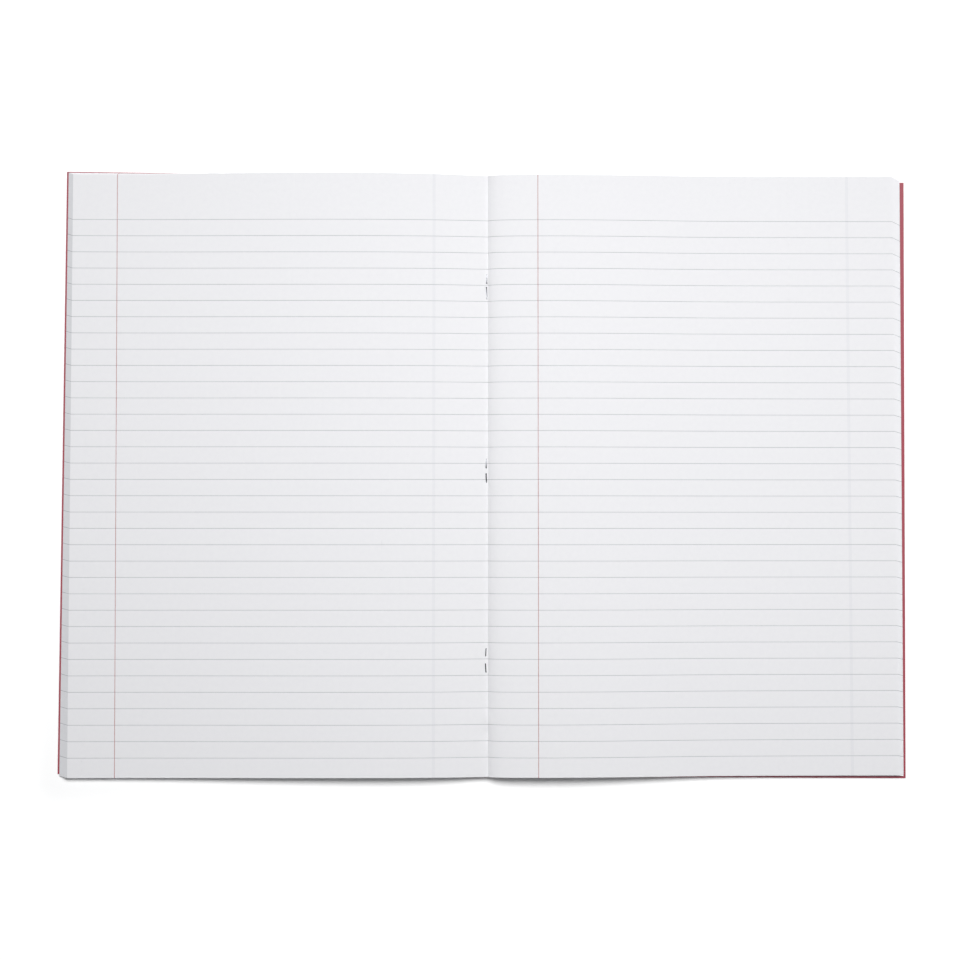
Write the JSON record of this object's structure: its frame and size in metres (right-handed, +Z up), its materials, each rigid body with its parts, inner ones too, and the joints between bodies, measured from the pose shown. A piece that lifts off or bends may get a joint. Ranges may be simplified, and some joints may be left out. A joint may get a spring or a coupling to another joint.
{
  "type": "open composition notebook",
  "caption": "stapled A4 composition notebook with a plain red card cover, lying open flat at its centre spread of feint ruled leaves with red margins",
  "frame": {"origin": "under the middle of the spine, on the table that the open book lies on", "axes": "+X runs across the spread to the right, +Y runs up the page to the head, +Z is up out of the open pages"},
  "size_m": [0.4189, 0.2994, 0.0064],
  "materials": {
    "red_card": "plain red cover card with a faint sheen, no print",
    "paper": "smooth white writing paper, feint ruled in grey blue with a red margin",
    "wire": "drawn galvanised stitching wire"
  },
  "bodies": {
    "back_leaves": {"right_pages": "paper", "staples": "wire"},
    "front_leaves": {"left_pages": "paper"},
    "front_cover": {"front_cover": "red_card"},
    "back_cover": {"back_cover": "red_card"}
  },
  "joints": [
    {"name": "book_closing", "type": "hinge", "parent": "back_leaves", "child": "front_leaves", "pos_m": [0, 0, 0.0061], "axis": [0, 1, 0], "range_deg": [0, 178]},
    {"name": "front_cover_fold", "type": "hinge", "parent": "front_leaves", "child": "front_cover", "pos_m": [0, 0, 0], "axis": [0, -1, 0], "range_deg": [0, 178]},
    {"name": "back_cover_fold", "type": "hinge", "parent": "back_leaves", "child": "back_cover", "pos_m": [0, 0, 0], "axis": [0, 1, 0], "range_deg": [0, 178]}
  ]
}
